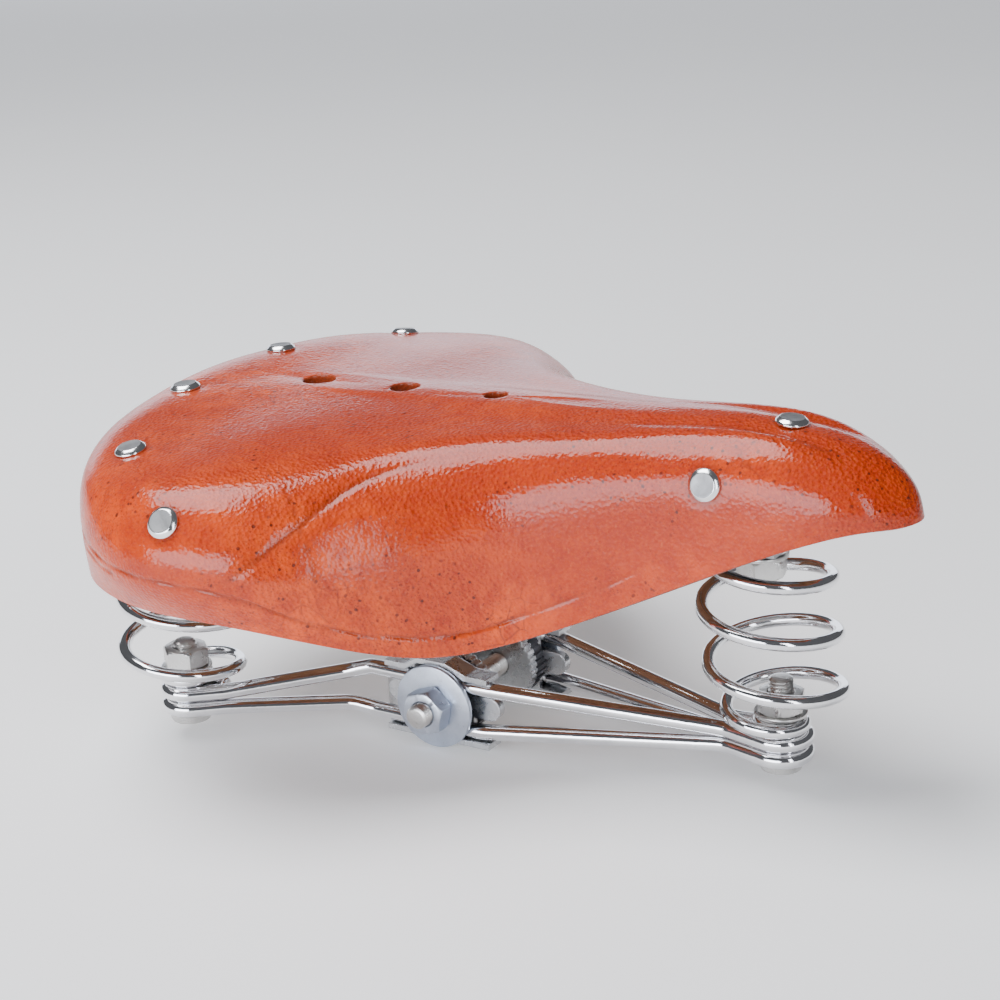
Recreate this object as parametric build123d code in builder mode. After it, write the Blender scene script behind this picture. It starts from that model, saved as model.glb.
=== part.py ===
from build123d import *
import math
import os

import numpy as np

# A sprung leather bicycle saddle: a formed leather top riveted to a rear plate and a nose
# plate, three coil springs, a frame of two bent wires, and a clamp for a round seat post.
# Millimetres. X points to the nose, Y to the rider's left, Z up. The origin is on the seat
# post's axis, level with the undersides of the three lower bolt heads.

# --- driving dimensions -------------------------------------------------------------------
POST_R = 11.1  # seat post of 22.2 mm
CLAMP_X = 21.0  # cross stud's axis
CLAMP_Z = 9.6
RAIL_Y = 24.5  # straight part of the wires, either side of the middle
RAIL_RISE = 7.7  # wires above and below the stud's axis
WIRE_R = 2.7
FRONT_BOLT_X = 133.2
REAR_BOLT_X = -60.7
REAR_BOLT_Y = 55.5
FRONT_LEAN = -6.3  # spring tops stand this far along X from their feet
REAR_LEAN = 4.2
BOLT_R = 4.0  # M8
HOLE_R = 4.2
HEAD_R = 7.5
HEAD_T = 3.0
NUT_AF = 14.0
NUT_T = 6.5
WASHER_R = 8.5
WASHER_T = 1.2
SPRING_WIRE_R = 2.15
SPRING_R = 20.7  # centre line of the wide turns
EYE_R = 6.9  # centre line of every eye
FRONT_LOOP_R = 8.0
LEATHER_T = 4.5
PLATE_T = 2.0
GAP = 0.04  # between faces that touch

LOWER_EYE_Z = HEAD_T + GAP + WIRE_R
UPPER_EYE_Z = LOWER_EYE_Z + 2 * WIRE_R + GAP
SPRING_FOOT_Z = UPPER_EYE_Z + WIRE_R + SPRING_WIRE_R + GAP
SPRING_TOP_Z = SPRING_FOOT_Z + 58.0
PLATE_Z = SPRING_TOP_Z + SPRING_WIRE_R + GAP  # underside of the plates' spring seats
SPRING_FEET = {
    "front_spring": (FRONT_BOLT_X, 0.0, FRONT_LEAN, 213.0),
    "rear_spring_right": (REAR_BOLT_X, -REAR_BOLT_Y, REAR_LEAN, 69.0),
    "rear_spring_left": (REAR_BOLT_X, REAR_BOLT_Y, REAR_LEAN, 69.0),
}

os.makedirs("parts", exist_ok=True)


def keep(piece, label):
    """Names a finished piece and writes it."""
    piece.part.label = label
    export_step(piece.part, f"parts/{label}.step")


# --- the leather's outer surface ----------------------------------------------------------
# Stations round half the outline, from the middle of the rear to the tip of the nose.
# Each gives a point on the lower edge, the side, the shoulder and the edge of the top.
STATIONS = [
    ((-95, 0, 66), (-98, 0, 83), (-94.5, 0, 99), (-83, 0, 107)),
    ((-91.5, 38, 65.5), (-95, 38, 82.5), (-91, 37, 98.5), (-79, 33, 106.2)),
    ((-82, 67, 64.3), (-84.5, 67.5, 80.5), (-82, 65.5, 97), (-70, 57, 105)),
    ((-66, 91, 62.6), (-66.5, 92.5, 79), (-65, 89.5, 94.5), (-54, 76, 102.8)),
    ((-38, 101, 60.3), (-38, 109, 77), (-38, 104, 92), (-32, 86, 102.3)),
    ((-8, 98, 58.6), (-8, 106, 75.5), (-10, 101.5, 90.5), (-13, 85, 101.8)),
    ((18, 85.5, 52.5), (15, 91, 73), (11, 85.5, 91), (5, 71, 101.5)),
    ((42, 64, 44.5), (38, 65, 70), (33, 62, 92), (27, 50, 103.5)),
    ((66, 43.5, 47), (64, 43.5, 74), (62, 40, 96), (60, 31, 106.5)),
    ((100, 33, 61.5), (100, 31, 84), (100, 28, 101.5), (100, 20, 110.5)),
    ((137, 28, 79.3), (137, 26.5, 93), (137, 23, 106), (137, 15.5, 113)),
    ((163, 19, 88.4), (163, 18.5, 96), (161, 16, 103), (157, 11, 108.8)),
    ((174.5, 9.5, 89.3), (173, 9, 97), (168, 8, 103.6), (160, 6, 109.3)),
    ((179, 0, 89.7), (177, 0, 97), (171.5, 0, 103.8), (162, 0, 109.4)),
]
TOP_CENTRE = 35.0  # the flat of the top is an ellipse about this X
TOP_LENGTH = 92.0
TOP_WIDTH = 17.0


def crown(x, y):
    """Height of the flat of the top."""
    fall = 0.001 + 0.00006 * max(0.0, x + 60)
    return 108.9 + 0.04 * x + 0.00008 * x * x - fall * y * y


class Smooth:
    """A natural cubic spline through rows of values."""

    def __init__(self, knots, values):
        self.knots = np.array(knots, float)
        self.values = np.array(values, float)
        step = np.diff(self.knots)
        size = len(self.knots)
        bend = np.eye(size)
        load = np.zeros(self.values.shape)
        for i in range(1, size - 1):
            bend[i, i - 1 : i + 2] = [step[i - 1], 2 * (step[i - 1] + step[i]), step[i]]
            after = (self.values[i + 1] - self.values[i]) / step[i]
            before = (self.values[i] - self.values[i - 1]) / step[i - 1]
            load[i] = 6 * (after - before)
        self.curve = np.linalg.solve(bend, load)

    def at(self, knot):
        last = len(self.knots) - 2
        i = min(max(int(np.searchsorted(self.knots, knot)) - 1, 0), last)
        step = self.knots[i + 1] - self.knots[i]
        a = (self.knots[i + 1] - knot) / step
        b = (knot - self.knots[i]) / step
        ends = a * self.values[i] + b * self.values[i + 1]
        arch = (a**3 - a) * self.curve[i] + (b**3 - b) * self.curve[i + 1]
        return ends + arch * step * step / 6


def outline():
    """The stations all the way round, as a spline over one turn counted from 0 to 2."""
    half = np.array(STATIONS, float)
    other = half[1:-1][::-1] * [1, -1, 1]
    full = np.concatenate([half, other])
    count = len(full)
    index = np.arange(-4, count + 5)
    return Smooth(index * 2 / count, full[index % count].reshape(len(index), 12))


OUTLINE = outline()


def leather_point(u, v):
    """A point of the outer surface, from a disc: u to the nose, v to the left, edge at 1."""
    reach = math.hypot(u, v)
    turn = (math.atan2(v, -u) / math.pi) % 2
    edge, side, shoulder, upper = OUTLINE.at(turn).reshape(4, 3)
    angle = turn * math.pi
    points = []
    for part in (0, 0.5, 1):
        x = TOP_CENTRE - part * TOP_LENGTH * math.cos(angle)
        y = part * TOP_WIDTH * math.sin(angle)
        points.append((x, y, crown(x, y)))
    points = np.array([*points, upper, shoulder, side, edge])
    steps = np.sqrt(np.linalg.norm(np.diff(points, axis=0), axis=1))
    knots = np.concatenate([[0], np.cumsum(steps)])
    return Smooth(knots, points).at(reach * knots[-1])


def leather_normal(u, v):
    """The outward normal of the outer surface."""
    nudge = 0.004
    along = leather_point(u + nudge, v) - leather_point(u - nudge, v)
    across = leather_point(u, v + nudge) - leather_point(u, v - nudge)
    normal = np.cross(along, across)
    return normal / np.linalg.norm(normal)


def leather_depth(u, v, depth):
    """A point at a depth below the outer surface."""
    return tuple(leather_point(u, v) - depth * leather_normal(u, v))


def find_on_leather(x, y, z):
    """The disc coordinates of the surface point nearest to a place."""
    best = min(
        ((i / 20, j / 20) for i in range(-19, 20) for j in range(-19, 20) if i * i + j * j < 380),
        key=lambda uv: np.linalg.norm(leather_point(*uv) - (x, y, z)),
    )
    step = 0.025
    while step > 0.0005:
        around = [(best[0] + i * step, best[1] + j * step) for i in (-1, 0, 1) for j in (-1, 0, 1)]
        best = min(around, key=lambda uv: np.linalg.norm(leather_point(*uv) - (x, y, z)))
        step /= 2
    return best


def skin(rows, without=()):
    """Triangles over a grid of points, apart from some of its cells."""
    faces = []
    for j, (row, after) in enumerate(zip(rows, rows[1:])):
        for i in range(len(row) - 1):
            if (j, i) not in without:
                faces.append(Face(Wire.make_polygon([row[i], after[i + 1], row[i + 1]])))
                faces.append(Face(Wire.make_polygon([row[i], after[i], after[i + 1]])))
    return faces


def round_hole(rows, block, centre, ring):
    """Triangles between the sides of a block of cells in one row and the ring of a hole."""
    j, first, last = block
    near, far = rows[j][first : last + 1], rows[j + 1][first : last + 1]
    border = [near[0], *far, *near[:0:-1]]

    def turns(loop):
        angles = [math.atan2(p[1], p[0] - centre) - math.radians(RING_START) for p in loop]
        return [a % (2 * math.pi) for a in angles]

    start = turns(border).index(min(turns(border)))
    border = border[start:] + border[:start]
    outside = [*turns(border), 2 * math.pi + turns(border)[0]]
    inside = [2 * math.pi * n / len(ring) for n in range(len(ring) + 1)]
    border, ring = border + border[:1], ring + ring[:1]
    faces, i, n = [], 0, 0
    while i < len(border) - 1 or n < len(ring) - 1:
        if n == len(ring) - 1 or (i < len(border) - 1 and outside[i + 1] <= inside[n + 1]):
            faces.append(Face(Wire.make_polygon([border[i], border[i + 1], ring[n]])))
            i += 1
        else:
            faces.append(Face(Wire.make_polygon([border[i], ring[n + 1], ring[n]])))
            n += 1
    return faces


def formed_sheet(spots, top_depth, bottom_depth, holes=()):
    """A closed sheet that follows the leather between two depths, over a grid of spots."""
    top = [[leather_depth(u, v, top_depth) for u, v in row] for row in spots]
    bottom = [[leather_depth(u, v, bottom_depth) for u, v in row] for row in spots]
    cells = [(j, i) for (j, first, last), _, _ in holes for i in range(first, last)]
    faces = skin(top, cells) + skin(bottom, cells)
    faces += skin([top[0], bottom[0]]) + skin([top[-1], bottom[-1]])
    for side in (0, -1):
        faces += skin([[row[side] for row in top], [row[side] for row in bottom]])
    for block, x, radius in holes:
        upper = hole_ring(x, radius, top_depth)
        lower = hole_ring(x, radius, bottom_depth)
        faces += round_hole(top, block, x, upper) + round_hole(bottom, block, x, lower)
        faces += skin([upper + upper[:1], lower + lower[:1]])
    return Solid(Shell(faces))


def hole_ring(x, radius, depth):
    """Points round a vent, from its right rear towards the nose."""
    ring = []
    for n in range(HOLE_SIDES):
        angle = math.radians(RING_START + 360 * n / HOLE_SIDES)
        place = (x + radius * math.cos(angle), radius * math.sin(angle))
        ring.append((*place, crown(*place) - depth))
    return ring


def disc_u(x):
    """The u of the point of the middle line that has a given X."""
    low, high = -1.0, 1.0
    for _ in range(30):
        middle = (low + high) / 2
        if leather_point(middle, 0)[0] < x:
            low = middle
        else:
            high = middle
    return low


def split(low, high, step):
    """Even steps from low to high, without high."""
    count = math.ceil((high - low) / step)
    return [low + (high - low) * i / count for i in range(count)]


HOLE_SIDES = 16
RING_START = 200.0  # degrees
VENTS = [(-38.7, 5.5), (-3.3, 4.9), (32.4, 3.8)]  # X and radius
VENT_CELL = 8.0  # half the length of the grid cell round a vent
VENT_STRIP = 0.2  # half the width of the block of cells round a vent, on the disc
GRID_STEP = 0.087


def leather_grid():
    """A grid of spots over the whole disc, without a pole, and the blocks that hold vents."""
    along, cells = [], []
    start = -1.0
    for x, radius in VENTS:
        low, high = disc_u(x - VENT_CELL), disc_u(x + VENT_CELL)
        along += split(start, low, GRID_STEP)
        cells.append((len(along), x, radius))
        along.append(low)
        start = high
    along += [*split(start, 1.0, GRID_STEP), 1.0]
    across = split(-1.0, -VENT_STRIP, GRID_STEP)
    first = len(across)
    across += split(-VENT_STRIP, VENT_STRIP, GRID_STEP)
    last = len(across)
    across += [*split(VENT_STRIP, 1.0, GRID_STEP), 1.0]
    spots = [
        [(a * math.sqrt(1 - b * b / 2), b * math.sqrt(1 - a * a / 2)) for b in across] for a in along
    ]
    return spots, [((row, first, last), x, radius) for row, x, radius in cells]


# Rivets: places of the heads' seats on the surface.
REAR_RIVETS = [(-22.1, 104, 92.2), (-57, 76.8, 101.3), (-74.8, 26.5, 105.2)]
NOSE_RIVETS = [(137.8, 0, 116.4), (120.7, 26, 100)]
RIVET_HEAD_R = 5.2
RIVET_R = 2.4


def rivet_seats(places):
    """Planes on the surface for each place and its mirror image, normals outward."""
    seats = []
    for x, y, z in places:
        for side in (1, -1) if y else (1,):
            u, v = find_on_leather(x, side * y, z)
            seats.append(Plane(origin=tuple(leather_point(u, v)), z_dir=tuple(leather_normal(u, v))))
    return seats


REAR_SEATS = rivet_seats(REAR_RIVETS)
NOSE_SEATS = rivet_seats(NOSE_RIVETS)


def leather_top():
    spots, holes = leather_grid()
    with BuildPart() as piece:
        add(formed_sheet(spots, 0, LEATHER_T, holes))
        for seat in REAR_SEATS + NOSE_SEATS:
            with BuildSketch(seat):
                Circle(RIVET_R + GAP)
            extrude(amount=12, both=True, mode=Mode.SUBTRACT)
    keep(piece, "leather_top")


leather_top()


def rivets(seats, label):
    """Flat-topped heads outside, shanks through leather and plate, clinched tails inside."""
    stack = LEATHER_T + PLATE_DEPTH + PLATE_T
    with BuildPart() as piece:
        for seat in seats:
            with BuildSketch(seat.offset(GAP)):
                Circle(RIVET_HEAD_R)
            extrude(amount=1.5, taper=25)
            with BuildSketch(seat.offset(GAP)):
                Circle(RIVET_R)
            extrude(amount=-(stack + 2.0))
            with BuildSketch(seat.offset(-stack - 1.0)):
                Circle(RIVET_R + 1.2)
            extrude(amount=-1.0)
    keep(piece, label)


# --- plates under the leather -------------------------------------------------------------
PLATE_DEPTH = 1.0  # between the leather's underside and a plate's top
rivets(REAR_SEATS, "rear_rivets")
rivets(NOSE_SEATS, "nose_rivets")


def spots_between(first, last, count, inner, outer, rows):
    """A grid of disc spots between two turns about the disc and two reaches."""
    grid = []
    for j in range(rows):
        reach = inner + (outer - inner) * j / (rows - 1)
        turns = [math.pi * (first + (last - first) * i / (count - 1)) for i in range(count)]
        grid.append([(-reach * math.cos(t), reach * math.sin(t)) for t in turns])
    return grid


def plate(label, spots, webs, seats, bolts):
    """A formed plate under the leather, with flat spring seats hung from it by webs."""
    under = LEATHER_T + PLATE_DEPTH
    with BuildPart() as piece:
        for low, high in webs:
            with Locations(tuple((a + b) / 2 for a, b in zip(low, high))):
                Box(*(b - a for a, b in zip(low, high)))
        add(formed_sheet(spots, -12, under + PLATE_T / 2), mode=Mode.SUBTRACT)
        add(formed_sheet(spots, under, under + PLATE_T))
        for seat in seats:
            with BuildSketch(seat):
                Circle(RIVET_R + GAP)
            extrude(amount=20, both=True, mode=Mode.SUBTRACT)
        for x, y in bolts:
            with BuildSketch(Plane.XY.offset(PLATE_Z)):
                with Locations((x, y)):
                    Circle(HOLE_R)
            extrude(amount=PLATE_T + 5, mode=Mode.SUBTRACT)
    keep(piece, label)


UPPER_BOLTS = [(x + lean, y) for x, y, lean, _ in SPRING_FEET.values()]
SEAT_HALF = 12.0  # half width of a spring seat

rear_webs = []
for x, y in UPPER_BOLTS[1:]:
    side = math.copysign(1, y)
    outer = y + side * SEAT_HALF
    low, high = sorted((y - side * SEAT_HALF, outer))
    rear_webs.append(((x - SEAT_HALF - 2, low, PLATE_Z), (x + SEAT_HALF, high, PLATE_Z + PLATE_T)))
    low, high = sorted((outer - side * PLATE_T, outer))
    rear_webs.append(((x - SEAT_HALF - 2, low, PLATE_Z), (x + SEAT_HALF, high, 101)))
REAR_BAND = spots_between(-0.37, 0.37, 25, 0.56, 0.84, 7)
plate("cantle_plate", REAR_BAND, rear_webs, REAR_SEATS, UPPER_BOLTS[1:])

nose_x = UPPER_BOLTS[0][0]
nose_webs = [
    ((nose_x - SEAT_HALF, -16.2, PLATE_Z), (nose_x + SEAT_HALF, 16.2, PLATE_Z + PLATE_T)),
    ((nose_x - SEAT_HALF, -16.2, PLATE_Z), (nose_x + SEAT_HALF, -14.2, 107)),
    ((nose_x - SEAT_HALF, 14.2, PLATE_Z), (nose_x + SEAT_HALF, 16.2, 107)),
]


def nose_spots():
    """A grid of disc spots over the nose, from side to side."""
    lengths = [0.36 + 0.28 * i / 8 for i in range(9)]
    widths = [-0.64 + 1.28 * j / 14 for j in range(15)]
    return [[(u, v) for v in widths] for u in lengths]


plate("nose_plate", nose_spots(), nose_webs, NOSE_SEATS, UPPER_BOLTS[:1])


# --- fasteners ----------------------------------------------------------------------------
def bolts(label, heads, length):
    """Bolts whose heads start on the planes, with the shanks along the planes' normals."""
    with BuildPart() as piece:
        for plane in heads:
            with BuildSketch(plane):
                Circle(HEAD_R - 1.0)
            extrude(amount=HEAD_T, taper=-18)
            with BuildSketch(plane.offset(HEAD_T - GAP)):
                Circle(BOLT_R)
            extrude(amount=length - HEAD_T + GAP)
    keep(piece, label)


def hexagons(label, spots, low_z):
    """Hexagon nuts, bored for the bolts."""
    with BuildPart() as piece:
        for x, y in spots:
            with BuildSketch(Plane(origin=(x, y, low_z))):
                RegularPolygon(NUT_AF / 2, 6, major_radius=False)
                Circle(BOLT_R + GAP, mode=Mode.SUBTRACT)
            extrude(amount=NUT_T)
    keep(piece, label)


def washers(label, spots, low_z):
    with BuildPart() as piece:
        for x, y in spots:
            with BuildSketch(Plane(origin=(x, y, low_z))):
                Circle(WASHER_R)
                Circle(HOLE_R, mode=Mode.SUBTRACT)
            extrude(amount=WASHER_T)
    keep(piece, label)


LOWER_BOLTS = [(x, y) for x, y, _, _ in SPRING_FEET.values()]
EYE_GAP = 0.3  # a spring's eye starts to rise under its washer
LOWER_WASHER_Z = SPRING_FOOT_Z + SPRING_WIRE_R + EYE_GAP
LOWER_NUT_Z = LOWER_WASHER_Z + WASHER_T + GAP
UPPER_WASHER_Z = SPRING_TOP_Z - SPRING_WIRE_R - EYE_GAP - WASHER_T
UPPER_NUT_Z = UPPER_WASHER_Z - GAP - NUT_T
UPPER_HEAD_Z = PLATE_Z + PLATE_T + GAP + HEAD_T
up = [Plane(origin=(x, y, 0)) for x, y in LOWER_BOLTS]
down = [Plane(origin=(x, y, UPPER_HEAD_Z), z_dir=(0, 0, -1)) for x, y in UPPER_BOLTS]
bolts("front_lower_bolt", up[:1], 31.0)
bolts("rear_lower_bolts", up[1:], 28.5)
bolts("front_upper_bolt", down[:1], UPPER_HEAD_Z - 59.6)
bolts("rear_upper_bolts", down[1:], UPPER_HEAD_Z - 59.6)
hexagons("front_lower_nut", LOWER_BOLTS[:1], LOWER_NUT_Z)
hexagons("rear_lower_nuts", LOWER_BOLTS[1:], LOWER_NUT_Z)
hexagons("front_upper_nut", UPPER_BOLTS[:1], UPPER_NUT_Z)
hexagons("rear_upper_nuts", UPPER_BOLTS[1:], UPPER_NUT_Z)
washers("lower_washers", LOWER_BOLTS, LOWER_WASHER_Z)
washers("upper_washers", UPPER_BOLTS, UPPER_WASHER_Z)


# --- springs ------------------------------------------------------------------------------
SPRING_MID_TURN = 1.5
EYE_TURNS = 2.7  # half the turns, eyes included
RISE_TURNS = 1.95


def spring_point(foot, turn):
    """A left-handed coil with wide turns that wind in to an eye at each end."""
    x, y, lean, start = foot
    away = turn - SPRING_MID_TURN
    part = max(-1.0, min(1.0, away / RISE_TURNS))
    rise = 1.25 * part - 0.25 * part**5
    z = (SPRING_FOOT_Z + SPRING_TOP_Z) / 2 + rise * (SPRING_TOP_Z - SPRING_FOOT_Z) / 2
    blend = max(0.0, min(1.0, (2.05 - abs(away)) / 0.9))
    radius = EYE_R + (SPRING_R - EYE_R) * (3 * blend**2 - 2 * blend**3)
    angle = math.radians(start - 360 * turn)
    shift = lean * (z - SPRING_FOOT_Z) / (SPRING_TOP_Z - SPRING_FOOT_Z)
    return (x + shift + radius * math.cos(angle), y + radius * math.sin(angle), z)


def spring(label, foot):
    steps = 80
    first = SPRING_MID_TURN - EYE_TURNS
    turns = [first + 2 * EYE_TURNS * i / steps for i in range(steps + 1)]
    with BuildPart() as piece:
        with BuildLine() as path:
            Spline(*[spring_point(foot, turn) for turn in turns])
        with BuildSketch(Plane(origin=path.line @ 0, z_dir=path.line % 0)):
            Circle(SPRING_WIRE_R)
        sweep(path=path.line)
    keep(piece, label)


for label, foot in SPRING_FEET.items():
    spring(label, foot)


# --- frame wires --------------------------------------------------------------------------
FRONT_CORNER_X = 36.5  # where the wires leave the straight part for the front
REAR_CORNER_X = -6.0
REAR_BEND_X = -14.0
REAR_BEND_Y = 26.3
PINCH_X = 115.2
PINCH_Y = 4.1
EYE_RUN = 12.0  # level run beside each rear eye
EYE_TAIL = 11.0


def frame_wire(label, eye_z, rail_z, bend_z):
    """Half the wire, from the tail at the right rear eye to the front loop, and its mirror."""
    eye = Vector(REAR_BOLT_X, -REAR_BOLT_Y, eye_z)
    bend = Vector(REAR_BEND_X, -REAR_BEND_Y, bend_z)
    away = Vector(bend.X - eye.X, bend.Y - eye.Y, 0)
    heading = math.atan2(away.Y, away.X) + math.asin(EYE_R / away.length)
    leave = eye + Vector(math.sin(heading), -math.cos(heading)) * EYE_R
    run = leave + Vector(math.cos(heading), math.sin(heading)) * EYE_RUN
    pinch = Vector(PINCH_X, -PINCH_Y, eye_z)
    back = Vector(PINCH_X - FRONT_BOLT_X, -PINCH_Y)
    touch = math.atan2(back.Y, back.X) + math.acos(FRONT_LOOP_R / back.length)
    loop = Vector(FRONT_BOLT_X, 0, eye_z)
    join = loop + Vector(math.cos(touch), math.sin(touch)) * FRONT_LOOP_R
    route = [
        leave,
        run,
        bend,
        Vector(REAR_CORNER_X, -RAIL_Y, rail_z),
        Vector(FRONT_CORNER_X, -RAIL_Y, rail_z),
        pinch,
        join,
    ]
    turn_end = math.degrees(heading) + 270
    with BuildPart() as piece:
        with BuildLine() as path:
            Line(eye + Vector(EYE_TAIL, EYE_R), eye + Vector(0, EYE_R))
            CenterArc(eye, EYE_R, 90, turn_end - 90)
            FilletPolyline(*route, radius=[25, 14, 9, 18, 14])
            CenterArc(loop, FRONT_LOOP_R, math.degrees(touch) % 360, 360 - math.degrees(touch) % 360)
        start = eye + Vector(EYE_TAIL, EYE_R)
        with BuildSketch(Plane(origin=start, z_dir=(-1, 0, 0))):
            Circle(WIRE_R)
        sweep(path=path.line)
        mirror(about=Plane.XZ)
    keep(piece, label)


frame_wire("upper_wire", UPPER_EYE_Z, CLAMP_Z + RAIL_RISE, 15.0)
frame_wire("lower_wire", LOWER_EYE_Z, CLAMP_Z - RAIL_RISE, 3.2)


# --- seat post clamp ----------------------------------------------------------------------
SLIDE_GAP = 0.15  # between a wire and what guides it
WEB_OUT = RAIL_Y - WIRE_R - SLIDE_GAP  # outer face of a cheek's web
WEB_T = 2.0
WASHER_IN = RAIL_Y + WIRE_R + SLIDE_GAP
LIP_TOP = CLAMP_Z + RAIL_RISE + WIRE_R + SLIDE_GAP
LIP_BOTTOM = CLAMP_Z - RAIL_RISE - WIRE_R - SLIDE_GAP
LIP_W = WASHER_IN - GAP - WEB_OUT + WEB_T
CLAMP_WASHER_R = 14.35
CLAMP_WASHER_T = 2.0
COLLAR_T = 3.5
COLLAR_HALF = 12.0
EAR_R = 13.7
DISC_R = 13.5
TEETH = 36
STUD_END = 39.6


def side_plane(y, side):
    """The plane at a distance out on one side, with X forward and its normal outward."""
    return Plane(origin=(0, side * y, 0), x_dir=(1, 0, 0), z_dir=(0, side, 0))


def cheek(label, side):
    """A pressed cheek: a web with a boss between the wires and a lip above and below them."""
    flip = -side  # Z runs the other way on the plane of the left side
    with BuildPart() as piece:
        with BuildSketch(side_plane(WEB_OUT - WEB_T, side)):
            with BuildLine():
                Polyline(
                    (CLAMP_X - 12, flip * LIP_BOTTOM),
                    (CLAMP_X - 12, flip * LIP_TOP),
                    (CLAMP_X - 7, flip * (LIP_TOP + 3)),
                    (CLAMP_X + 4, flip * (LIP_TOP + 3)),
                    (CLAMP_X + 11, flip * LIP_TOP),
                    (CLAMP_X + 11, flip * LIP_BOTTOM),
                    close=True,
                )
            make_face()
        extrude(amount=WEB_T)
        with BuildSketch(side_plane(WEB_OUT - WEB_T, side)):
            with Locations((CLAMP_X, flip * CLAMP_Z)):
                SlotOverall(44, 8)
        extrude(amount=WEB_T + 1.2)
        with BuildSketch(side_plane(WEB_OUT - WEB_T, side)):
            with BuildLine():
                Polyline(
                    (CLAMP_X - 20, flip * (LIP_TOP + WEB_T)),
                    (CLAMP_X - 12, flip * (LIP_TOP + WEB_T)),
                    (CLAMP_X - 7, flip * (LIP_TOP + 3 + WEB_T)),
                    (CLAMP_X + 4, flip * (LIP_TOP + 3 + WEB_T)),
                    (CLAMP_X + 12, flip * (LIP_TOP + WEB_T)),
                    (CLAMP_X + 20, flip * (LIP_TOP + WEB_T)),
                    (CLAMP_X + 20, flip * LIP_TOP),
                    (CLAMP_X + 11, flip * LIP_TOP),
                    (CLAMP_X + 4, flip * (LIP_TOP + 3)),
                    (CLAMP_X - 7, flip * (LIP_TOP + 3)),
                    (CLAMP_X - 12, flip * LIP_TOP),
                    (CLAMP_X - 20, flip * LIP_TOP),
                    close=True,
                )
            make_face()
        extrude(amount=LIP_W)
        with BuildSketch(side_plane(WEB_OUT - WEB_T, side)):
            with Locations((CLAMP_X, flip * (LIP_BOTTOM - WEB_T / 2))):
                Rectangle(40, WEB_T)
        extrude(amount=LIP_W)
        with BuildSketch(side_plane(WEB_OUT - WEB_T, side)):
            with Locations((CLAMP_X, flip * CLAMP_Z)):
                Circle(HOLE_R)
        extrude(amount=10, mode=Mode.SUBTRACT)
    keep(piece, label)


def ring_disc(label, side, inner, thick, radius, hole, teeth=0):
    """A disc on the stud; its rim may be notched all round."""
    with BuildPart() as piece:
        with BuildSketch(side_plane(inner, side)):
            with Locations((CLAMP_X, -side * CLAMP_Z)):
                Circle(radius)
                Circle(hole, mode=Mode.SUBTRACT)
            if teeth:
                with Locations((CLAMP_X, -side * CLAMP_Z)):
                    with PolarLocations(radius, teeth):
                        Rectangle(1.2, 0.9, mode=Mode.SUBTRACT)
        extrude(amount=thick)
    keep(piece, label)


DISC_IN = POST_R + COLLAR_T + 0.3
for name, side in (("right", -1), ("left", 1)):
    cheek(f"cheek_{name}", side)
    ring_disc(f"clamp_washer_{name}", side, WASHER_IN, CLAMP_WASHER_T, CLAMP_WASHER_R, HOLE_R)
    disc_t = WEB_OUT - WEB_T - GAP - DISC_IN
    ring_disc(f"toothed_disc_{name}", side, DISC_IN, disc_t, DISC_R, HOLE_R, TEETH)


def post_collar():
    """A split ring round the post with an ear either side of the stud."""
    with BuildPart() as piece:
        with BuildSketch(Plane.XY.offset(CLAMP_Z - COLLAR_HALF)):
            Circle(POST_R + COLLAR_T)
            Circle(POST_R, mode=Mode.SUBTRACT)
            with Locations((POST_R + COLLAR_T, 0)):
                Rectangle(2 * COLLAR_T + 3, 5, mode=Mode.SUBTRACT)
        extrude(amount=2 * COLLAR_HALF)
        for side in (-1, 1):
            with BuildSketch(side_plane(POST_R, side)):
                with Locations((CLAMP_X / 2, -side * CLAMP_Z)):
                    Rectangle(CLAMP_X, 2 * COLLAR_HALF)
                with Locations((CLAMP_X, -side * CLAMP_Z)):
                    Circle(EAR_R)
                    Circle(HOLE_R, mode=Mode.SUBTRACT)
                    with PolarLocations(EAR_R, TEETH):
                        Rectangle(1.2, 0.9, mode=Mode.SUBTRACT)
            extrude(amount=COLLAR_T)
    keep(piece, "post_collar")


post_collar()


def clamp_stud():
    with BuildPart() as piece:
        with BuildSketch(side_plane(-STUD_END, 1)):
            with Locations((CLAMP_X, -CLAMP_Z)):
                Circle(BOLT_R)
        extrude(amount=2 * STUD_END)
        chamfer(edges().filter_by(GeomType.CIRCLE), 0.7)
    keep(piece, "clamp_stud")


def clamp_nuts():
    with BuildPart() as piece:
        for side in (-1, 1):
            with BuildSketch(side_plane(WASHER_IN + CLAMP_WASHER_T + GAP, side)):
                with Locations((CLAMP_X, -side * CLAMP_Z)):
                    RegularPolygon(NUT_AF / 2, 6, major_radius=False, rotation=18)
                    Circle(BOLT_R + GAP, mode=Mode.SUBTRACT)
            extrude(amount=NUT_T)
    keep(piece, "clamp_nuts")


clamp_stud()
clamp_nuts()
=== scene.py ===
import math

import bpy
import numpy as np
from mathutils import Matrix, Vector


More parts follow.
